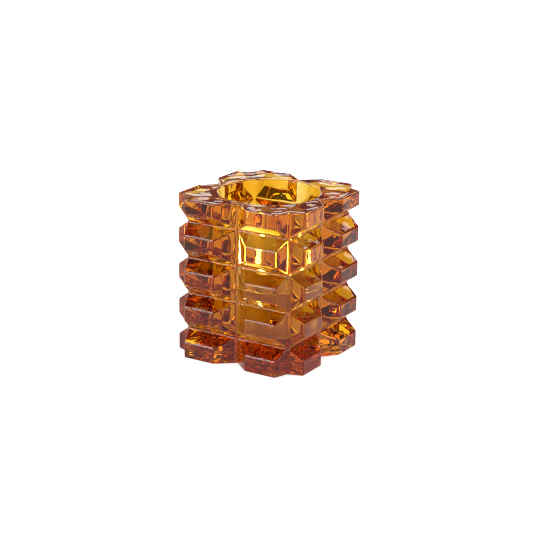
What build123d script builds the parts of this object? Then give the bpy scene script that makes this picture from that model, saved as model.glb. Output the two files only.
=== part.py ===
from build123d import *
import os

os.makedirs("parts", exist_ok=True)

# Tealight holder: a square block of pressed amber glass with a round well, cut on its four
# sides into blocks of five tiers by two columns, and the tealight that stands in the well.
# Origin at the middle of the foot, +Z up, the front side faces -Y. Millimetres.

# ---------------------------------------------------------------- driving dimensions

# Glass, outside
face_half = 40.0            # centre to the flat faces of the blocks
root_half = 31.6            # centre to the sharp bottom that the grooves' walls aim at
core_half = 32.2            # centre to the narrow flat that the grooves really end on
face_inner_edge = 10.0      # a block face starts here, measured from the middle of its side
face_outer_edge = 28.9      # and ends here, short of the corner
tier_count = 5
tier_pitch = 20.1           # groove to groove
face_height = 8.2           # flat face of the three middle tiers
foot_face_height = 9.0      # flat face of the bottom tier, cut off by the foot
rim_face_height = 8.0       # flat face of the top tier, cut off by the rim
block_round = 0.8           # soft, fire-polished edges of the blocks
core_corner_round = 1.2
outline_round = 0.7         # soft edge around the rim and the foot

# Glass, well
mouth_radius = 27.4         # wall of the well just under the lip
well_floor_radius = 26.4    # the wall leans in towards the floor, so the plunger came out
well_floor_height = 15.5
lip_round = 1.3
well_floor_round = 3.0

# Tealight: where it stands on the well floor, and its cup
tealight_x = 5.5
tealight_y = -1.5
cup_height = 25.0
cup_foot_radius = 18.0
cup_mouth_radius = 18.5
cup_wall = 0.3
cup_foot_round = 1.2
cup_bead_radius = 0.45      # rolled edge at the top of the cup

# Candle in the cup
wax_gap = 0.15              # wax shrinks off the cup as it sets
wax_height = 22.6           # at the edge, above the cup's inner floor
pool_radius = 16.4          # melted middle
pool_depth = 0.8
pool_slope = 0.8
sustainer_radius = 6.5
sustainer_thickness = 0.3
sustainer_neck_radius = 1.35
sustainer_neck_height = 3.0
wick_radius = 0.75
wick_exposed = 7.0          # wick above the pool
wick_lean = 1.1             # sideways reach of the burnt end

# ---------------------------------------------------------------- derived dimensions

bevel_height = (tier_pitch - face_height) / 2
first_groove = foot_face_height + bevel_height
last_groove = first_groove + (tier_count - 2) * tier_pitch
overall_height = last_groove + bevel_height + rim_face_height
trim_height = 6.0           # extra height on the end tiers, taken off again by rim and foot
radius_match = 0.1          # how close a circle's radius has to be for a selector to take it
grooves = [first_groove + tier * tier_pitch for tier in range(tier_count - 1)]


# ---------------------------------------------------------------- glass holder


def facet_block(tier_bottom, tier_top):
    """One block of the front side, right of the middle: a four-sided frustum lying on its back."""
    face_bottom = tier_bottom + bevel_height
    face_top = tier_top - bevel_height
    with BuildPart() as block:
        with BuildSketch(Plane.XZ.offset(root_half)):
            with Locations((root_half / 2, (tier_bottom + tier_top) / 2)):
                Rectangle(root_half, tier_top - tier_bottom)
        with BuildSketch(Plane.XZ.offset(face_half)):
            with Locations(((face_inner_edge + face_outer_edge) / 2, (face_bottom + face_top) / 2)):
                Rectangle(face_outer_edge - face_inner_edge, face_top - face_bottom)
        loft()
        buried_edges = block.faces().sort_by(Axis.Y)[-1].edges()
        fillet(block.edges() - buried_edges, radius=block_round)
    return block.part


tier_edges = [-bevel_height - trim_height] + grooves + [overall_height + bevel_height + trim_height]

with BuildPart() as glass_holder:
    with BuildSketch():
        RectangleRounded(2 * core_half, 2 * core_half, core_corner_round)
    extrude(amount=overall_height)

    # Ten blocks on each of the four sides, the left column a mirror image of the right one
    for tier_bottom, tier_top in zip(tier_edges, tier_edges[1:]):
        right_block = facet_block(tier_bottom, tier_top)
        left_block = mirror(right_block, about=Plane.YZ, mode=Mode.PRIVATE)
        with PolarLocations(0, 4):
            add(right_block)
            add(left_block)
    split(bisect_by=Plane.XY, keep=Keep.TOP)
    split(bisect_by=Plane.XY.offset(overall_height), keep=Keep.BOTTOM)

    fillet(glass_holder.faces().sort_by(Axis.Z)[-1].edges(), radius=outline_round)
    fillet(glass_holder.faces().sort_by(Axis.Z)[0].edges(), radius=outline_round)

    # Round well with a rolled lip and a rounded floor
    with BuildSketch(Plane.XZ):
        with BuildLine():
            Polyline(
                (0, well_floor_height),
                (well_floor_radius, well_floor_height),
                (mouth_radius, overall_height),
                (0, overall_height),
                close=True,
            )
        make_face()
    revolve(axis=Axis.Z, mode=Mode.SUBTRACT)
    well_edges = glass_holder.edges().filter_by(GeomType.CIRCLE)
    mouth_edge = well_edges.filter_by(lambda edge: abs(edge.radius - mouth_radius) < radius_match)
    floor_edge = well_edges.filter_by(lambda edge: abs(edge.radius - well_floor_radius) < radius_match)
    fillet(mouth_edge, radius=lip_round)
    fillet(floor_edge, radius=well_floor_round)

glass_holder.part.label = "glass_holder"
export_step(glass_holder.part, "parts/glass_holder.step")


# ---------------------------------------------------------------- tealight cup

candle_origin = (tealight_x, tealight_y, well_floor_height)
candle_section = Plane(origin=candle_origin, x_dir=(1, 0, 0), z_dir=(0, -1, 0))
candle_axis = Axis(candle_origin, (0, 0, 1))
cup_wall_top = cup_height - cup_bead_radius

with BuildPart() as tealight_cup:
    # Drawn aluminium cup with a slight draft, standing on the well's floor
    with BuildSketch(candle_section):
        with BuildLine():
            Polyline(
                (0, 0),
                (cup_foot_radius, 0),
                (cup_mouth_radius, cup_wall_top),
                (0, cup_wall_top),
                close=True,
            )
        make_face()
    revolve(axis=candle_axis)
    fillet(tealight_cup.faces().sort_by(Axis.Z)[0].edges(), radius=cup_foot_round)
    offset(amount=-cup_wall, openings=tealight_cup.faces().sort_by(Axis.Z)[-1])

    # Rolled bead around the mouth
    with BuildSketch(candle_section):
        with Locations((cup_mouth_radius, cup_wall_top)):
            Circle(cup_bead_radius)
    revolve(axis=candle_axis)

tealight_cup.part.label = "tealight_cup"
export_step(tealight_cup.part, "parts/tealight_cup.step")


# ---------------------------------------------------------------- wick and its metal foot

wax_floor = cup_wall
pool_level = wax_floor + wax_height - pool_depth
sustainer_top = wax_floor + sustainer_thickness
wick_top = pool_level + wick_exposed

with BuildPart() as wick_sustainer:
    # Tin disc on the cup's floor, with a crimped neck that grips the wick
    with BuildSketch(candle_section):
        with BuildLine():
            Polyline(
                (wick_radius, wax_floor),
                (sustainer_radius, wax_floor),
                (sustainer_radius, sustainer_top),
                (sustainer_neck_radius, sustainer_top),
                (sustainer_neck_radius, sustainer_top + sustainer_neck_height),
                (wick_radius, sustainer_top + sustainer_neck_height),
                close=True,
            )
        make_face()
    revolve(axis=candle_axis)

wick_sustainer.part.label = "wick_sustainer"
export_step(wick_sustainer.part, "parts/wick_sustainer.step")

with BuildPart() as wick:
    # Straight through the wax, then bent a little where it burns
    with BuildLine(candle_section):
        straight = Line((0, wax_floor), (0, pool_level))
        TangentArc((0, pool_level), (wick_lean, wick_top), tangent=straight % 1)
    with BuildSketch(Plane(candle_origin).offset(wax_floor)):
        Circle(wick_radius)
    sweep()

wick.part.label = "wick"
export_step(wick.part, "parts/wick.step")


# ---------------------------------------------------------------- wax

cup_draft = (cup_mouth_radius - cup_foot_radius) / cup_wall_top
wax_edge_top = wax_floor + wax_height


def wax_radius(height):
    """Radius of the wax at a height above the well floor, parallel to the cup's wall."""
    return cup_foot_radius + cup_draft * height - cup_wall - wax_gap


with BuildPart() as candle_wax:
    # Set wax with a flat melted pool in its top
    with BuildSketch(candle_section):
        with BuildLine():
            Polyline(
                (0, wax_floor),
                (wax_radius(wax_floor), wax_floor),
                (wax_radius(wax_edge_top), wax_edge_top),
                (pool_radius + pool_slope, wax_edge_top),
                (pool_radius, pool_level),
                (0, pool_level),
                close=True,
            )
        make_face()
    revolve(axis=candle_axis)
    fillet(candle_wax.faces().sort_by(Axis.Z)[0].edges(), radius=cup_foot_round)

    # Room for the wick and its foot, which are cast into the wax
    add(wick_sustainer.part, mode=Mode.SUBTRACT)
    add(wick.part, mode=Mode.SUBTRACT)

candle_wax.part.label = "candle_wax"
export_step(candle_wax.part, "parts/candle_wax.step")
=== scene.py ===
import math

import bmesh
import bpy
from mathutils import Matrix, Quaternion, Vector, noise


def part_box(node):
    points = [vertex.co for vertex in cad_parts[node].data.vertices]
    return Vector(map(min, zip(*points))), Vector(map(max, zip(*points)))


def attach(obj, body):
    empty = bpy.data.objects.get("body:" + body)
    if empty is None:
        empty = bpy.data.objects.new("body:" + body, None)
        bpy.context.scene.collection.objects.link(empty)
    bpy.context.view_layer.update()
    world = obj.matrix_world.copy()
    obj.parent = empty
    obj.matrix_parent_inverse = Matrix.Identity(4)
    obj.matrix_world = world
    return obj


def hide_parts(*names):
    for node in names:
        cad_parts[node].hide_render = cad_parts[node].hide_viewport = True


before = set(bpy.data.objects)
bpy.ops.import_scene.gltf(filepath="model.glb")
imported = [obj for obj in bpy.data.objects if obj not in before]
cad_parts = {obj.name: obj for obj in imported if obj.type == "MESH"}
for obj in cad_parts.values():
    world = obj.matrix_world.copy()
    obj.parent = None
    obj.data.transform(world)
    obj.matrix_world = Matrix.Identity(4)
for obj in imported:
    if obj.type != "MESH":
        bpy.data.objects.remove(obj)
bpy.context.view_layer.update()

# A lit tealight in a square, faceted holder of pressed amber glass.
# Metres, in the frame of the CAD model: the foot stands on z = 0 and the front faces -Y.

MM = 0.001

# ---------------------------------------------------------------- sizes

# The outer size of the glass comes from its CAD node. The plan of its blocks is drawn inside it
_, holder_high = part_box("glass_holder")
FACE_HALF = holder_high.x                # centre to the flat block faces
HEIGHT = holder_high.z
ROOT_HALF = FACE_HALF - 8.4 * MM         # centre to the bottom of the grooves
FACE_INNER_EDGE = 10.0 * MM              # a block face, measured from the middle of its side
FACE_OUTER_EDGE = 28.9 * MM
TIER_COUNT = 5
TIER_PITCH = 20.1 * MM
FACE_HEIGHT = 8.2 * MM
FOOT_FACE_HEIGHT = 9.0 * MM              # the lowest tier stands on its face
BEVEL_HEIGHT = (TIER_PITCH - FACE_HEIGHT) / 2
GROOVE_ROUND = 1.6 * MM                  # width of the rounding along the grooves
EDGE_SHARE = 0.55                        # the fire-polished edges' rounding, as a share of that
ROUND_SEGMENTS = 6
SHARPEST_SMOOTH = math.radians(14)       # flatter edges than this aren't rounded
BAND_WIDTH = 1.3 * MM                    # flat band inside the outline of the rim and the foot

RIM_RINGS = 16
RIM_WAVE_LENGTH = 12.0 * MM
RIM_WAVE = 0.85 * MM
RIM_SAG = 0.25 * MM
RIM_BROAD = 8 * MM                       # where the rim is narrower than this, its waves are lower
RIM_FADE = 0.3                           # share of its breadth in which the waves rise and fall
RIPPLE_SCALE = 2.3                       # finer waves on top of these
RIPPLE_SHARE = 0.12

FOOT_RINGS = 24
FOOT_WAVE_LENGTH = 7 * MM
FOOT_HOLLOW = 2.2 * MM
FOOT_FADE = 0.14                         # share of the way to the centre in which the waves rise

MOUTH_RADIUS = 27.4 * MM
LIP_ROUND = 1.3 * MM
WELL_FLOOR_RADIUS = 26.4 * MM
WELL_FLOOR_ROUND = 3.0 * MM
WELL_STEPS = 192
ARC_STEPS = 8

cup_low, cup_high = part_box("tealight_cup")
CANDLE_X = (cup_low.x + cup_high.x) / 2
CANDLE_Y = (cup_low.y + cup_high.y) / 2
WELL_FLOOR = cup_low.z


# ---------------------------------------------------------------- mesh helpers


def mesh_object(name, bm, material):
    """A new smooth-shaded object from a bmesh, with outward normals and one material."""
    bmesh.ops.recalc_face_normals(bm, faces=bm.faces)
    mesh = bpy.data.meshes.new(name)
    bm.to_mesh(mesh)
    bm.free()
    mesh.polygons.foreach_set("use_smooth", [True] * len(mesh.polygons))
    mesh.materials.append(material)
    obj = bpy.data.objects.new(name, mesh)
    bpy.context.scene.collection.objects.link(obj)
    return obj


def smooth_share(value, start, end):
    """0 up to the start, 1 from the end on, and a smooth rise between them."""
    share = min(max((value - start) / (end - start), 0.0), 1.0)
    return share * share * (3 - 2 * share)


def ring(bm, radius, height, count, centre, ripple=None):
    """A level circle of vertices. ripple gives the radius to add at a turn."""
    made = []
    for i in range(count):
        turn = 2 * math.pi * i / count
        reach = radius + (ripple(turn, radius, height) if ripple else 0.0)
        x = centre[0] + reach * math.cos(turn)
        y = centre[1] + reach * math.sin(turn)
        made.append(bm.verts.new((x, y, height)))
    return made


def join_rings(bm, lower, upper):
    """Quads between two rings of the same count."""
    count = len(lower)
    for i in range(count):
        j = (i + 1) % count
        bm.faces.new((lower[i], lower[j], upper[j], upper[i]))


def arc(centre_r, centre_z, radius, start, end, steps):
    """Points (r, z) on an arc, angles in degrees from the +r direction."""
    angles = [math.radians(start + (end - start) * i / steps) for i in range(steps + 1)]
    return [(centre_r + radius * math.cos(a), centre_z + radius * math.sin(a)) for a in angles]


def turned(bm, profile, count, centre, ripple=None):
    """Rings joined along a profile of (r, z) points. A point with r = 0 closes the end."""
    last, first_point = None, None
    for r, z in profile:
        if r <= 0:
            tip = bm.verts.new((centre[0], centre[1], z))
            if last is None:
                first_point = tip
            else:
                for i in range(count):
                    bm.faces.new((last[i], last[(i + 1) % count], tip))
            continue
        now = ring(bm, r, z, count, centre, ripple)
        if last is not None:
            join_rings(bm, last, now)
        elif first_point is not None:
            for i in range(count):
                bm.faces.new((first_point, now[(i + 1) % count], now[i]))
        last = now


# ---------------------------------------------------------------- glass holder


def on_side(side, across, depth, height):
    """A point of one side: across runs to the right along the side, depth is from the centre."""
    cos, sin = math.cos(side * math.pi / 2), math.sin(side * math.pi / 2)
    x, y = across, -depth
    return (x * cos - y * sin, x * sin + y * cos, height)


class PointStore:
    """Makes each vertex of the glass once, however many facets meet at it."""

    def __init__(self, bm):
        self.bm = bm
        self.made = {}

    def at(self, point):
        key = tuple(round(c * 1e7) for c in point)
        if key not in self.made:
            self.made[key] = self.bm.verts.new(point)
        return self.made[key]

    def facet(self, points):
        return self.bm.faces.new([self.at(p) for p in points])


def block_facets(store, side, mirror, low, face_low, face_high, high):
    """The face of one block and the bevels around it. low and high are its grooves' heights."""

    def p(across, depth, height):
        return on_side(side, mirror * across, depth, height)

    mid_low, mid_high = p(0, ROOT_HALF, low), p(0, ROOT_HALF, high)
    corner_low, corner_high = p(ROOT_HALF, ROOT_HALF, low), p(ROOT_HALF, ROOT_HALF, high)
    inner_low = p(FACE_INNER_EDGE, FACE_HALF, face_low)
    inner_high = p(FACE_INNER_EDGE, FACE_HALF, face_high)
    outer_low = p(FACE_OUTER_EDGE, FACE_HALF, face_low)
    outer_high = p(FACE_OUTER_EDGE, FACE_HALF, face_high)
    facets = [
        (inner_low, outer_low, outer_high, inner_high),
        (mid_low, inner_low, inner_high, mid_high),
        (outer_low, corner_low, corner_high, outer_high),
    ]
    if face_low > low:
        facets.append((mid_low, corner_low, outer_low, inner_low))
    if face_high < high:
        facets.append((inner_high, outer_high, corner_high, mid_high))
    for facet in facets:
        store.facet(facet)


def plan_outline(height):
    """The holder's outline through its block faces, anticlockwise from a corner."""
    outline = []
    for side in range(4):
        for across, depth in (
            (-ROOT_HALF, ROOT_HALF),
            (-FACE_OUTER_EDGE, FACE_HALF),
            (-FACE_INNER_EDGE, FACE_HALF),
            (0, ROOT_HALF),
            (FACE_INNER_EDGE, FACE_HALF),
            (FACE_OUTER_EDGE, FACE_HALF),
        ):
            outline.append(Vector(on_side(side, across, depth, height)))
    return outline


def inset(outline, distance):
    """The outline moved inwards by a distance, keeping its corners."""
    moved = []
    for i, point in enumerate(outline):
        before, after = outline[i - 1], outline[(i + 1) % len(outline)]
        d1, d2 = (point - before).normalized(), (after - point).normalized()
        n1, n2 = Vector((-d1.y, d1.x, 0)), Vector((-d2.y, d2.x, 0))
        moved.append(point + distance * (n1 + n2) / (1 + n1.dot(n2)))
    return moved


def outline_reach(outline, turn):
    """Distance from the centre to the outline in the direction of a turn."""
    ray = Vector((math.cos(turn), math.sin(turn)))
    for i, end in enumerate(outline):
        start = outline[i - 1].to_2d()
        along = end.to_2d() - start
        crossing = ray.cross(along)
        if abs(crossing) < 1e-12:
            continue
        share = start.cross(ray) / crossing
        reach = start.cross(along) / crossing
        if reach > 0 and -1e-6 <= share <= 1 + 1e-6:
            return reach
    raise ValueError("the outline doesn't go all the way round")


def turns_of(outline):
    return [math.atan2(p.y, p.x) % (2 * math.pi) for p in outline]


def ring_turns(outline):
    """Where the rings of the rim, well and foot have vertices: at even steps and at the outline's
    corners."""
    corners = turns_of(outline)
    step = 2 * math.pi / WELL_STEPS
    even = [step * i for i in range(WELL_STEPS)]
    return sorted(corners + [t for t in even if min(abs(t - c) for c in corners) > 0.3 * step])


def level_ring(bm, turns, radius, height):
    return [bm.verts.new((radius * math.cos(t), radius * math.sin(t), height)) for t in turns]


def flat_band(bm, store, height, turns):
    """Faces from the outline inwards at the rim or the foot. Returns the inner loop of vertices,
    which has one vertex at each of the turns."""
    outer = plan_outline(height)
    inner = inset(outer, BAND_WIDTH)
    turn_of = turns_of(inner)
    loop = []
    for turn in turns:
        reach = outline_reach(inner, turn)
        loop.append(bm.verts.new((reach * math.cos(turn), reach * math.sin(turn), height)))
    outer_verts = [store.at(p) for p in outer]
    count = len(outer)
    for i in range(count):
        j = (i + 1) % count
        first = min(range(len(turns)), key=lambda k: abs(turns[k] - turn_of[i]))
        last = min(range(len(turns)), key=lambda k: abs(turns[k] - turn_of[j]))
        steps = (last - first) % len(turns)
        inner_side = [loop[(first + k) % len(turns)] for k in range(steps, -1, -1)]
        bm.faces.new([outer_verts[i], outer_verts[j]] + inner_side)
    return loop


def rim_height(x, y, share, width):
    """The rim is level at its edges. Between them it sinks a little and lies in soft waves.
    share runs from its outer edge to the well, and width is its breadth there."""
    fade = smooth_share(share, 0.0, RIM_FADE) * (1 - smooth_share(share, 1 - RIM_FADE, 1.0))
    fade *= min(1.0, width / RIM_BROAD)
    point = Vector((x, y, 0)) / RIM_WAVE_LENGTH
    wave = noise.noise(point) + RIPPLE_SHARE * noise.noise(point * RIPPLE_SCALE)
    return HEIGHT + fade * (RIM_WAVE * wave - RIM_SAG)


def foot_height(x, y, share):
    """The foot is hollow and wavy inside its flat outer band. share runs from it to the centre."""
    wave = 0.5 + 0.5 * noise.noise(Vector((x, y, FOOT_WAVE_LENGTH)) / FOOT_WAVE_LENGTH)
    return FOOT_HOLLOW * smooth_share(share, 0.0, FOOT_FADE) * wave


def add_foot(bm, store, turns):
    edge = flat_band(bm, store, 0.0, turns)
    last = edge
    for i in range(1, FOOT_RINGS):
        share = i / FOOT_RINGS
        now = []
        for start in edge:
            x, y = start.co.to_2d() * (1 - share)
            now.append(bm.verts.new((x, y, foot_height(x, y, share))))
        join_rings(bm, last, now)
        last = now
    tip = bm.verts.new((0, 0, foot_height(0, 0, 1.0)))
    for i, corner in enumerate(last):
        bm.faces.new((corner, last[(i + 1) % len(last)], tip))


def in_foot(face):
    """Whether a face is part of the foot's band or waves. Every other face reaches higher."""
    return all(v.co.z <= FOOT_HOLLOW for v in face.verts)


def mark_soft_edges(bm):
    """Weights for the bevel: full in the grooves, less on edges that stand out, none in the waves
    of the foot."""
    weight = bm.edges.layers.float.new("bevel_weight_edge")
    bmesh.ops.recalc_face_normals(bm, faces=bm.faces)
    for edge in bm.edges:
        if all(in_foot(face) for face in edge.link_faces):
            continue
        angle = edge.calc_face_angle_signed(0.0)
        if angle > SHARPEST_SMOOTH:
            edge[weight] = EDGE_SHARE
        elif angle < -SHARPEST_SMOOTH:
            edge[weight] = 1.0


def add_blocks(store):
    """Two columns of five blocks on each side, with a groove between one tier and the next."""
    grooves = [FOOT_FACE_HEIGHT + BEVEL_HEIGHT + i * TIER_PITCH for i in range(TIER_COUNT - 1)]
    lows = [0.0] + grooves
    highs = grooves + [HEIGHT]
    for side in range(4):
        for mirror in (1, -1):
            for low, high in zip(lows, highs):
                face_low = low if low == 0.0 else low + BEVEL_HEIGHT
                face_high = high if high == HEIGHT else high - BEVEL_HEIGHT
                block_facets(store, side, mirror, low, face_low, face_high, high)


def well_profile():
    """Points (r, z) from the rim over the lip, down the drafted wall and round to the floor."""
    wall_slope = (MOUTH_RADIUS - WELL_FLOOR_RADIUS) / (HEIGHT - WELL_FLOOR)
    wall_foot = WELL_FLOOR_RADIUS + wall_slope * WELL_FLOOR_ROUND
    lip = arc(MOUTH_RADIUS + LIP_ROUND, HEIGHT - LIP_ROUND, LIP_ROUND, 90, 180, ARC_STEPS)
    floor_r, floor_z = wall_foot - WELL_FLOOR_ROUND, WELL_FLOOR + WELL_FLOOR_ROUND
    return lip + arc(floor_r, floor_z, WELL_FLOOR_ROUND, 0, -90, ARC_STEPS)


def add_rim_and_well(bm, store, turns):
    profile = well_profile()
    last = flat_band(bm, store, HEIGHT, turns)
    rim_edge = [v.co.to_2d() for v in last]
    lip_radius = profile[0][0]
    for i in range(1, RIM_RINGS):
        share = i / RIM_RINGS
        now = []
        for start, turn in zip(rim_edge, turns):
            inner = Vector((lip_radius * math.cos(turn), lip_radius * math.sin(turn)))
            x, y = start.lerp(inner, share)
            now.append(bm.verts.new((x, y, rim_height(x, y, share, (start - inner).length))))
        join_rings(bm, last, now)
        last = now
    for r, z in profile:
        now = level_ring(bm, turns, r, z)
        join_rings(bm, last, now)
        last = now
    bm.faces.new(last)


def build_holder(material):
    bm = bmesh.new()
    store = PointStore(bm)
    turns = ring_turns(inset(plan_outline(HEIGHT), BAND_WIDTH))
    add_blocks(store)
    add_foot(bm, store, turns)
    add_rim_and_well(bm, store, turns)
    mark_soft_edges(bm)
    holder = mesh_object("glass_holder_body", bm, material)
    bevel = holder.modifiers.new("soft_edges", "BEVEL")
    bevel.width = GROOVE_ROUND
    bevel.segments = ROUND_SEGMENTS
    bevel.limit_method = "WEIGHT"
    bevel.use_clamp_overlap = False
    bevel.loop_slide = False
    normals = holder.modifiers.new("flat_faces", "WEIGHTED_NORMAL")
    normals.mode = "FACE_AREA"
    normals.weight = 100
    return holder


# ---------------------------------------------------------------- tealight

CANDLE = (CANDLE_X, CANDLE_Y)
CUP_STEPS = 240                          # vertices around
CUP_WALL_RINGS = 12
WAX_STEPS = 120
WAX_WALL_RINGS = 6
FLAME_STEPS = 32
FLAME_RINGS = 36
WICK_STEPS = 24
WICK_RINGS = 90
CUP_FOOT_RADIUS = 18.0 * MM
CUP_MOUTH_RADIUS = 18.5 * MM
CUP_WALL = 0.3 * MM
CUP_FOOT_ROUND = 1.2 * MM
CUP_BEAD = 0.45 * MM
CUP_TOP = cup_high.z
CUP_GAP = 0.1 * MM                       # air that stays between the cup and the well's floor

wax_low, wax_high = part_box("candle_wax")
WAX_FLOOR = wax_low.z
WAX_TOP = wax_high.z
WAX_GAP = 0.15 * MM                      # between the wax and the cup's wall
WAX_FOOT_ROUND = 1.2 * MM
WAX_EDGE_ROUND = 0.35 * MM
POOL_DEPTH = 0.8 * MM
POOL_RADIUS = 16.4 * MM
POOL_LEVEL = WAX_TOP - POOL_DEPTH
PIT_FLOOR = POOL_LEVEL - 1.6 * MM        # where the wax is still solid under the melted pool

wick_low, wick_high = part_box("wick")
WICK_RADIUS = CANDLE_X - wick_low.x
WICK_TOP = wick_high.z
WICK_LEAN = 1.1 * MM
WICK_STRANDS = 3
WICK_TWIST = 2 * math.pi / (5 * MM)      # one turn in 5 mm


def cup_radius(height):
    """Outside radius of the cup's wall at a height."""
    share = (height - cup_low.z) / (CUP_TOP - CUP_BEAD - cup_low.z)
    return CUP_FOOT_RADIUS + (CUP_MOUTH_RADIUS - CUP_FOOT_RADIUS) * share


def build_cup(material):
    """The aluminium cup: one closed skin, up the outside, round the bead and down the inside."""
    bm = bmesh.new()
    foot = cup_low.z + CUP_GAP
    bead_z = CUP_TOP - CUP_BEAD
    profile = [(0.0, foot)]
    profile += arc(
        CUP_FOOT_RADIUS - CUP_FOOT_ROUND, foot + CUP_FOOT_ROUND, CUP_FOOT_ROUND, -90, 0, 6
    )
    rings = range(1, CUP_WALL_RINGS)
    heights = [foot + (bead_z - foot) * i / CUP_WALL_RINGS for i in rings]
    profile += [(cup_radius(z), z) for z in heights]
    profile += arc(CUP_MOUTH_RADIUS, bead_z, CUP_BEAD, -70, 200, 14)
    profile += [(cup_radius(z) - CUP_WALL, z) for z in reversed(heights)]
    inner_round = CUP_FOOT_ROUND - CUP_WALL
    profile += arc(
        CUP_FOOT_RADIUS - CUP_FOOT_ROUND, foot + CUP_FOOT_ROUND, inner_round, 0, -90, 6
    )
    profile.append((0.0, foot + CUP_WALL))
    turned(bm, profile, CUP_STEPS, CANDLE)
    return mesh_object("cup_shell", bm, material)


def pool_ripple(turn, radius, height):
    """The melted pool's edge wanders a little where the wax has softened."""
    if height < WAX_TOP - 2.6 * MM or radius < 3 * MM:
        return 0.0
    in_pool = smooth_share(radius, 10 * MM, POOL_RADIUS)
    in_rim = smooth_share(radius, 17.2 * MM, 17.6 * MM)
    wander = 0.35 * math.sin(3 * turn + 0.6) + 0.22 * math.sin(5 * turn + 2.1)
    wander += 0.12 * math.sin(9 * turn)
    return wander * (in_pool * (1 - in_rim)) * MM


def build_wax(material):
    bm = bmesh.new()
    foot_radius = cup_radius(WAX_FLOOR) - CUP_WALL - WAX_GAP
    top_radius = cup_radius(WAX_TOP) - CUP_WALL - WAX_GAP
    profile = [(0.0, WAX_FLOOR)]
    profile += arc(
        foot_radius - WAX_FOOT_ROUND, WAX_FLOOR + WAX_FOOT_ROUND, WAX_FOOT_ROUND, -90, 0, 5
    )
    for i in range(1, WAX_WALL_RINGS):
        wall_radius = foot_radius + (top_radius - foot_radius) * i / WAX_WALL_RINGS
        profile.append((wall_radius, WAX_FLOOR + (WAX_TOP - WAX_FLOOR) * i / WAX_WALL_RINGS))
    profile += arc(top_radius - WAX_EDGE_ROUND, WAX_TOP - WAX_EDGE_ROUND, WAX_EDGE_ROUND, 0, 90, 4)
    profile += [
        (POOL_RADIUS + 0.7 * MM, WAX_TOP - 0.05 * MM),
        (POOL_RADIUS + 0.3 * MM, WAX_TOP - 0.35 * MM),
        (POOL_RADIUS, POOL_LEVEL),
        (POOL_RADIUS - 0.4 * MM, POOL_LEVEL - 0.6 * MM),
        (POOL_RADIUS - 1.4 * MM, PIT_FLOOR + 0.3 * MM),
        (POOL_RADIUS - 3.0 * MM, PIT_FLOOR),
        (8.0 * MM, PIT_FLOOR - 0.2 * MM),
        (3.0 * MM, PIT_FLOOR - 0.1 * MM),
        (0.0, PIT_FLOOR),
    ]
    turned(bm, profile, WAX_STEPS, CANDLE, pool_ripple)
    return mesh_object("wax_body", bm, material)


def build_pool(material):
    """Melted wax: a clear liquid that climbs the pit's edge and the wick a little."""
    bm = bmesh.new()
    profile = [
        (0.0, PIT_FLOOR - 0.05 * MM),
        (POOL_RADIUS - 3.0 * MM, PIT_FLOOR - 0.05 * MM),
        (POOL_RADIUS - 1.3 * MM, PIT_FLOOR + 0.25 * MM),
        (POOL_RADIUS - 0.3 * MM, POOL_LEVEL - 0.6 * MM),
        (POOL_RADIUS + 0.05 * MM, POOL_LEVEL + 0.02 * MM),
        (POOL_RADIUS - 0.5 * MM, POOL_LEVEL - 0.1 * MM),
        (POOL_RADIUS - 1.5 * MM, POOL_LEVEL - 0.2 * MM),
        (4.0 * MM, POOL_LEVEL - 0.22 * MM),
        (2.0 * MM, POOL_LEVEL - 0.1 * MM),
        (1.2 * MM, POOL_LEVEL + 0.15 * MM),
        (0.8 * MM, POOL_LEVEL + 0.6 * MM),
        (0.0, POOL_LEVEL + 0.6 * MM),
    ]
    turned(bm, profile, WAX_STEPS, CANDLE, pool_ripple)
    return mesh_object("melted_wax", bm, material)


def wick_centre(height):
    """The wick stands upright in the wax and bends over where it burns."""
    share = max(0.0, (height - POOL_LEVEL) / (WICK_TOP - POOL_LEVEL))
    return CANDLE_X + WICK_LEAN * share * share, CANDLE_Y


def build_wick(material):
    """Three cotton strands twisted round each other, as one skin."""
    bm = bmesh.new()
    low = wick_low.z
    last = None
    for i in range(WICK_RINGS + 1):
        z = low + (WICK_TOP - low) * i / WICK_RINGS
        cx, cy = wick_centre(z)
        taper = 1 - 0.55 * smooth_share(z, WICK_TOP - 1.6 * MM, WICK_TOP)
        now = []
        for k in range(WICK_STEPS):
            turn = 2 * math.pi * k / WICK_STEPS
            lobe = 0.84 + 0.16 * math.cos(WICK_STRANDS * (turn + WICK_TWIST * (z - low)))
            fray = 1 + 0.05 * math.sin(7 * turn + 3100 * z)
            r = WICK_RADIUS * lobe * taper * fray * 0.95
            now.append(bm.verts.new((cx + r * math.cos(turn), cy + r * math.sin(turn), z)))
        if last:
            join_rings(bm, last, now)
        else:
            bm.faces.new(list(reversed(now)))
        last = now
    bm.faces.new(last)
    return mesh_object("wick_braid", bm, material)


FLAME_BASE = POOL_LEVEL + 4.0 * MM
FLAME_TOP = FLAME_BASE + 24 * MM
FLAME_RADIUS = 2.0 * MM


def flame_radius(share):
    """Radius at a share of the flame's height: full below the middle, drawn out at the tip."""
    return FLAME_RADIUS * math.sin(math.pi * share ** 0.62) ** 0.85


def build_flame(material):
    bm = bmesh.new()
    profile = [(0.0, FLAME_BASE)]
    for i in range(1, FLAME_RINGS):
        share = (1 - math.cos(math.pi * i / FLAME_RINGS)) / 2
        profile.append((flame_radius(share), FLAME_BASE + (FLAME_TOP - FLAME_BASE) * share))
    profile.append((0.0, FLAME_TOP))
    centre_x = wick_centre(WICK_TOP)[0] - 0.4 * MM
    turned(bm, profile, FLAME_STEPS, (centre_x, CANDLE_Y))
    return mesh_object("flame", bm, material)


# ---------------------------------------------------------------- materials


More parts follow.
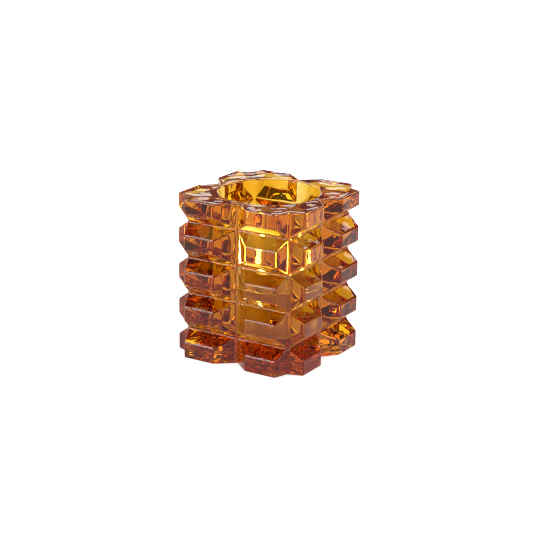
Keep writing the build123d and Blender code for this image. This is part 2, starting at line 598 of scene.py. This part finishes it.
class Nodes:
    """A new node tree of a material or a world, with short calls for adding and linking nodes."""

    def __init__(self, name):
        self.start(bpy.data.materials.new(name), "ShaderNodeOutputMaterial")

    @classmethod
    def of_tree(cls, world):
        n = cls.__new__(cls)
        n.start(world, "ShaderNodeOutputWorld")
        return n

    def start(self, owner, output):
        self.owner = owner
        owner.use_nodes = True
        self.tree = owner.node_tree
        self.tree.nodes.clear()
        self.output = self.tree.nodes.new(output)

    def add(self, kind, **inputs):
        node = self.tree.nodes.new("ShaderNode" + kind)
        for name, value in inputs.items():
            self.set(node, name.replace("_", " "), value)
        return node

    def set(self, node, name, value):
        if isinstance(value, bpy.types.NodeSocket):
            self.tree.links.new(value, node.inputs[name])
        elif isinstance(value, tuple) and len(value) == 3 and node.inputs[name].type == "RGBA":
            node.inputs[name].default_value = (*value, 1)
        else:
            node.inputs[name].default_value = value

    def place(self):
        """The point on the object, in metres, in the frame's axes."""
        return self.add("TexCoord").outputs["Object"]

    def noise(self, scale, detail=2.0, roughness=0.5, vector=None):
        node = self.add("TexNoise", Scale=scale, Detail=detail, Roughness=roughness)
        self.set(node, "Vector", vector or self.place())
        return node.outputs["Fac"]

    def ramp(self, factor, stops):
        node = self.add("ValToRGB")
        self.set(node, "Fac", factor)
        elements = node.color_ramp.elements
        while len(elements) < len(stops):
            elements.new(0.5)
        for element, (position, colour) in zip(elements, stops):
            element.position = position
            element.color = (*colour, 1)
        return node.outputs["Color"]

    def remap(self, value, low, high, to_low, to_high):
        node = self.add("MapRange")
        self.set(node, "Value", value)
        ends = {"From Min": low, "From Max": high, "To Min": to_low, "To Max": to_high}
        for name, number in ends.items():
            node.inputs[name].default_value = number
        return node.outputs["Result"]

    def math(self, operation, *values):
        node = self.add("Math")
        node.operation = operation
        for socket, value in zip(node.inputs, values):
            if isinstance(value, bpy.types.NodeSocket):
                self.tree.links.new(value, socket)
            else:
                socket.default_value = value
        return node.outputs[0]

    def bump(self, height, strength, distance):
        node = self.add("Bump", Strength=strength, Distance=distance, Height=height)
        return node.outputs["Normal"]

    def done(self, surface, volume=None):
        self.tree.links.new(surface, self.output.inputs["Surface"])
        if volume is not None:
            self.tree.links.new(volume, self.output.inputs["Volume"])
        return self.owner


# Each metre of glass takes off light at a rate of density times (1 - colour)
AMBER_DENSITY = 220.0
AMBER_COLOUR = (0.937, 0.828, 0.25)
AMBER_SKIN = (1.0, 0.77, 0.36)           # the tint of the surface itself


def amber_glass():
    """Clear amber glass: it tints light by how far the light runs through it."""
    n = Nodes("amber_glass")
    waves = n.noise(100, 1.5, 0.4)
    shader = n.add(
        "BsdfPrincipled",
        Base_Color=AMBER_SKIN,
        Transmission_Weight=1.0,
        IOR=1.52,
        Roughness=0.0,
        Normal=n.bump(waves, 1.0, 0.6 * MM),
    )
    absorption = n.add("VolumeAbsorption", Color=AMBER_COLOUR, Density=AMBER_DENSITY)
    return n.done(shader.outputs["BSDF"], absorption.outputs["Volume"])


def cup_metal():
    """Thin bright aluminium, with draw marks up its wall and a little dulling."""
    n = Nodes("cup_metal")
    stretch = n.add("Mapping", Vector=n.place())
    stretch.inputs["Scale"].default_value = (1, 1, 0.06)
    draw_marks = n.noise(1800, 3, 0.6, stretch.outputs["Vector"])
    cloud = n.noise(120, 3)
    shader = n.add(
        "BsdfPrincipled",
        Base_Color=n.ramp(cloud, [(0.3, (0.84, 0.84, 0.85)), (0.7, (0.93, 0.93, 0.94))]),
        Metallic=1.0,
        Roughness=n.remap(draw_marks, 0.3, 0.7, 0.4, 0.5),
        Normal=n.bump(draw_marks, 0.1, 0.02 * MM),
    )
    return n.done(shader.outputs["BSDF"])


def tinned_metal():
    n = Nodes("tinned_metal")
    grain = n.noise(900, 4)
    shader = n.add(
        "BsdfPrincipled",
        Base_Color=n.ramp(grain, [(0.3, (0.45, 0.45, 0.46)), (0.7, (0.6, 0.6, 0.6))]),
        Metallic=1.0,
        Roughness=n.remap(grain, 0.3, 0.7, 0.3, 0.5),
    )
    return n.done(shader.outputs["BSDF"])


def paraffin():
    """White wax: it glows a little inside and has a faint crystalline bloom."""
    n = Nodes("paraffin")
    bloom = n.noise(420, 5, 0.6)
    cloud = n.noise(130, 2)
    shader = n.add(
        "BsdfPrincipled",
        Base_Color=n.ramp(cloud, [(0.3, (0.86, 0.83, 0.76)), (0.7, (0.93, 0.91, 0.86))]),
        Roughness=n.remap(bloom, 0.3, 0.7, 0.28, 0.5),
        IOR=1.44,
        Subsurface_Weight=0.7,
        Subsurface_Scale=2.5 * MM,
        Normal=n.bump(bloom, 0.3, 0.08 * MM),
    )
    shader.inputs["Subsurface Radius"].default_value = (1.0, 0.75, 0.5)
    return n.done(shader.outputs["BSDF"])


def melted():
    n = Nodes("melted_paraffin")
    ripple = n.noise(220, 1)
    shader = n.add(
        "BsdfPrincipled",
        Base_Color=(0.98, 0.96, 0.9),
        Transmission_Weight=1.0,
        IOR=1.43,
        Roughness=0.0,
        Normal=n.bump(ripple, 0.1, 0.1 * MM),
    )
    return n.done(shader.outputs["BSDF"])


def charred_cotton():
    """Waxy cotton below, burnt black above, with an ember at the tip."""
    n = Nodes("charred_cotton")
    height = n.add("SeparateXYZ", Vector=n.place()).outputs["Z"]
    fibre = n.noise(2600, 3)
    burn = n.remap(height, POOL_LEVEL + 0.5 * MM, POOL_LEVEL + 2.5 * MM, 0, 1)
    ember = n.remap(height, WICK_TOP - 1.5 * MM, WICK_TOP, 0, 1)
    colour = n.ramp(burn, [
        (0.0, (0.62, 0.55, 0.42)),
        (0.4, (0.12, 0.07, 0.04)),
        (1.0, (0.015, 0.013, 0.012)),
    ])
    shader = n.add(
        "BsdfPrincipled",
        Base_Color=colour,
        Roughness=n.remap(fibre, 0.3, 0.7, 0.75, 0.95),
        Normal=n.bump(fibre, 0.6, 0.1 * MM),
        Emission_Color=(1.0, 0.25, 0.04),
        Emission_Strength=n.remap(ember, 0.0, 1.0, 0.0, 4.0),
    )
    return n.done(shader.outputs["BSDF"])


FLAME_STRENGTH = 28.0


def flame_light():
    """A candle flame: dim and bluish at its foot, white-hot in the body, orange at the tip. Seen
    in the open it is dimmed, or it would be lost in front of a white background."""
    n = Nodes("flame_light")
    height = n.add("SeparateXYZ", Vector=n.place()).outputs["Z"]
    share = n.remap(height, FLAME_BASE, FLAME_TOP, 0, 1)
    colour = n.ramp(share, [
        (0.0, (0.16, 0.25, 0.9)),
        (0.14, (0.9, 0.5, 0.2)),
        (0.3, (0.97, 0.9, 0.97)),
        (0.75, (1.0, 0.88, 0.92)),
        (1.0, (1.0, 0.42, 0.1)),
    ])
    strength = n.ramp(share, [
        (0.0, (0.01, 0.01, 0.01)),
        (0.16, (0.15, 0.15, 0.15)),
        (0.32, (1.0, 1.0, 1.0)),
        (0.8, (0.9, 0.9, 0.9)),
        (1.0, (0.35, 0.35, 0.35)),
    ])
    power = n.math("MULTIPLY", strength, FLAME_STRENGTH)
    dimming = n.math("SUBTRACT", 1.0, power)
    dimmed = n.ramp(share, [
        (0.0, (0.3, 0.4, 1.0)),
        (0.16, (1.0, 0.6, 0.28)),
        (0.34, (1.0, 0.92, 0.6)),
        (0.75, (1.0, 0.82, 0.38)),
        (1.0, (1.0, 0.5, 0.12)),
    ])
    in_the_open = n.add("LightPath").outputs["Is Camera Ray"]
    seen = n.add("MixRGB", Fac=in_the_open, Color1=colour, Color2=dimmed)
    shader = n.add(
        "BsdfPrincipled",
        Base_Color=(0.0, 0.0, 0.0),
        Specular_IOR_Level=0.0,
        Emission_Color=seen.outputs["Color"],
        Emission_Strength=n.math("MULTIPLY_ADD", in_the_open, dimming, power),
    )
    return n.done(shader.outputs["BSDF"])


TABLE_LIGHT = 0.45                       # light from below, as on a photographer's light table
TABLE_WHITE = 0.9
# Painted light and shade: its base colour as seen in glass, at two distances from the camera: in
# front of the object and behind it. It is darker in front and lighter behind, standing in for a
# table lit from behind
TABLE_NEAR, PAINTED_LIGHT_NEAR = 0.75, 0.05
TABLE_FAR, PAINTED_LIGHT_FAR = 1.3, 0.6


def matte_white():
    """A white table, lit faintly from below. Seen in glass its base colour is brighter behind the
    object than
    towards the camera: painted light and shade, standing in for a table lit from behind. Seen
    straight on it is plain."""
    n = Nodes("floor_white")
    grain = n.noise(400, 3)
    depth = n.add("SeparateXYZ", Vector=n.add("TexCoord").outputs["Camera"]).outputs["Z"]
    # Painted light and shade: the base colour seen in glass runs from dark in front of the object
    # to light behind it
    painted_light_in_glass = n.remap(depth, TABLE_NEAR, TABLE_FAR, PAINTED_LIGHT_NEAR, PAINTED_LIGHT_FAR)
    path = n.add("LightPath")
    mix = n.add("Mix", Factor=path.outputs["Is Camera Ray"])
    n.tree.links.new(painted_light_in_glass, mix.inputs["A"])
    mix.inputs["B"].default_value = TABLE_WHITE
    shader = n.add(
        "BsdfPrincipled",
        Base_Color=mix.outputs["Result"],
        Roughness=0.9,
        Normal=n.bump(grain, 0.05, 0.1 * MM),
        Emission_Color=(1.0, 1.0, 1.0),
        Emission_Strength=TABLE_LIGHT,
    )
    return n.done(shader.outputs["BSDF"])


# ---------------------------------------------------------------- the object


def stands_for(piece, node, body):
    """Shows the piece in place of a CAD node, on that node's body."""
    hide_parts(node)
    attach(piece, body)


stands_for(build_holder(amber_glass()), "glass_holder", "holder")
stands_for(build_cup(cup_metal()), "tealight_cup", "tealight")
stands_for(build_wax(paraffin()), "candle_wax", "candle")
stands_for(build_wick(charred_cotton()), "wick", "candle")

pool = build_pool(melted())
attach(pool, "candle")

flame = build_flame(flame_light())
flame.visible_diffuse = False            # the glow below lights matte things instead
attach(flame, "candle")


GLOW_WATTS = 0.012
GLOW_HEIGHT = FLAME_BASE + 0.4 * (FLAME_TOP - FLAME_BASE)


def build_glow():
    """The light that the flame throws on the wax, the cup and the floor."""
    data = bpy.data.lights.new("flame_glow", "POINT")
    data.energy = GLOW_WATTS
    data.color = (1.0, 0.62, 0.28)
    data.shadow_soft_size = FLAME_RADIUS
    glow = bpy.data.objects.new("flame_glow", data)
    glow.location = (CANDLE_X, CANDLE_Y, GLOW_HEIGHT)
    bpy.context.scene.collection.objects.link(glow)
    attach(glow, "candle")


build_glow()

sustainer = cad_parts["wick_sustainer"]
sustainer.data.materials.clear()
sustainer.data.materials.append(tinned_metal())

# ---------------------------------------------------------------- stage

CAMERA_DISTANCE = 0.9253
CAMERA_AZIMUTH = math.radians(31.47)
CAMERA_ELEVATION = math.radians(17.71)
CAMERA_ROLL = math.radians(0.62)
CAMERA_LENS = 113.8
CAMERA_CENTRE = Vector((0, 0, 0.038))    # the camera is placed around this point
CAMERA_AIM_UP = 8.24 * MM                # and aims a little above and left of it
CAMERA_AIM_LEFT = 1.17 * MM

FLOOR_REACH = 1.6
FLOOR_DROP = 0.2 * MM                    # keeps the floor off the glass foot's own face


def build_floor():
    bm = bmesh.new()
    corners = []
    for x, y in ((-1, -1), (1, -1), (1, 1), (-1, 1)):
        corners.append(bm.verts.new((x * FLOOR_REACH, y * FLOOR_REACH, -FLOOR_DROP)))
    bm.faces.new(corners)
    mesh_object("floor", bm, matte_white())


build_floor()


ROOM = 0.12                              # radiance of the dim room
PLAIN_WHITE = 1.15
# Lit panels of the studio: the range of turn away from "straight behind the object as the camera
# sees it" and the range of elevation, both in degrees, and the radiance
PANELS = (
    ((0, 48), (0, 10), 1.7),             # low backdrop
    ((0, 39), (24, 66), 2.9),            # softbox over the backdrop
    ((75, 162), (0, 20), 4.0),           # long softboxes at both sides
    ((162, 180), (0, 20), 1.5),          # white card at the camera
    ((0, 180), (66, 90), 1.2),           # ceiling
)


def between(n, angle, low, high):
    """1 where an angle lies between two angles in degrees, 0 elsewhere."""
    middle, half = math.radians(low + high) / 2, math.radians(high - low) / 2
    return n.math("COMPARE", angle, middle, half)


def studio_world():
    """Plain white to the camera, and plain white light on matte things. Glass and metal see a
    photographer's studio: lit panels in a dim room."""
    world = bpy.data.worlds.new("studio")
    bpy.context.scene.world = world
    n = Nodes.of_tree(world)
    way = n.add("VectorRotate", Vector=n.add("TexCoord").outputs["Generated"])
    way.rotation_type = "Z_AXIS"
    way.inputs["Angle"].default_value = -(math.pi / 2 + CAMERA_AZIMUTH)
    part = n.add("SeparateXYZ", Vector=way.outputs["Vector"]).outputs
    turn = n.math("ABSOLUTE", n.math("ARCTAN2", part["Y"], part["X"]))
    elevation = n.math("ARCSINE", part["Z"])
    strength = ROOM
    for turns, elevations, radiance in PANELS:
        inside = n.math("MULTIPLY", between(n, turn, *turns), between(n, elevation, *elevations))
        strength = n.math("MULTIPLY_ADD", inside, radiance - ROOM, strength)
    room = n.add("Background", Strength=strength)
    plain_white = n.add("Background", Color=(1.0, 1.0, 1.0), Strength=PLAIN_WHITE)
    path = n.add("LightPath")
    either = n.math("MAXIMUM", path.outputs["Is Camera Ray"], path.outputs["Is Diffuse Ray"])
    mix = n.add("MixShader", Fac=either)
    n.tree.links.new(room.outputs[0], mix.inputs[1])
    n.tree.links.new(plain_white.outputs[0], mix.inputs[2])
    n.tree.links.new(mix.outputs[0], n.output.inputs["Surface"])


studio_world()


SOFTBOX_PLACE = Vector((-0.47, -0.54, 0.54))
SOFTBOX_AIM = Vector((0, 0, 0.04))
SOFTBOX_WIDTH = 0.4
SOFTBOX_WATTS = 3.0


def build_softbox():
    data = bpy.data.lights.new("front_left", "AREA")
    data.shape = "RECTANGLE"
    data.size, data.size_y = SOFTBOX_WIDTH, SOFTBOX_WIDTH
    data.energy = SOFTBOX_WATTS
    softbox = bpy.data.objects.new("front_left", data)
    softbox.location = SOFTBOX_PLACE
    softbox.rotation_euler = (SOFTBOX_AIM - SOFTBOX_PLACE).to_track_quat("-Z", "Y").to_euler()
    bpy.context.scene.collection.objects.link(softbox)


build_softbox()

# ---------------------------------------------------------------- camera


def build_camera():
    back = Vector((
        math.sin(CAMERA_AZIMUTH) * math.cos(CAMERA_ELEVATION),
        -math.cos(CAMERA_AZIMUTH) * math.cos(CAMERA_ELEVATION),
        math.sin(CAMERA_ELEVATION),
    ))
    right = Vector((math.cos(CAMERA_AZIMUTH), math.sin(CAMERA_AZIMUTH), 0))
    up = back.cross(right)
    data = bpy.data.cameras.new("camera")
    data.lens = CAMERA_LENS
    camera = bpy.data.objects.new("camera", data)
    bpy.context.scene.collection.objects.link(camera)
    camera.location = CAMERA_CENTRE + back * CAMERA_DISTANCE
    aim = CAMERA_CENTRE + up * CAMERA_AIM_UP - right * CAMERA_AIM_LEFT
    towards = aim - camera.location
    roll = Quaternion(towards, -CAMERA_ROLL)
    camera.rotation_mode = "QUATERNION"
    camera.rotation_quaternion = roll @ towards.to_track_quat("-Z", "Y")
    bpy.context.scene.camera = camera


build_camera()

scene = bpy.context.scene
scene.view_settings.view_transform = "Standard"
scene.cycles.max_bounces = 32
scene.cycles.transmission_bounces = 32
scene.cycles.glossy_bounces = 16
scene.cycles.transparent_max_bounces = 32
scene.cycles.filter_width = 1.1
scene.cycles.sample_clamp_indirect = 0
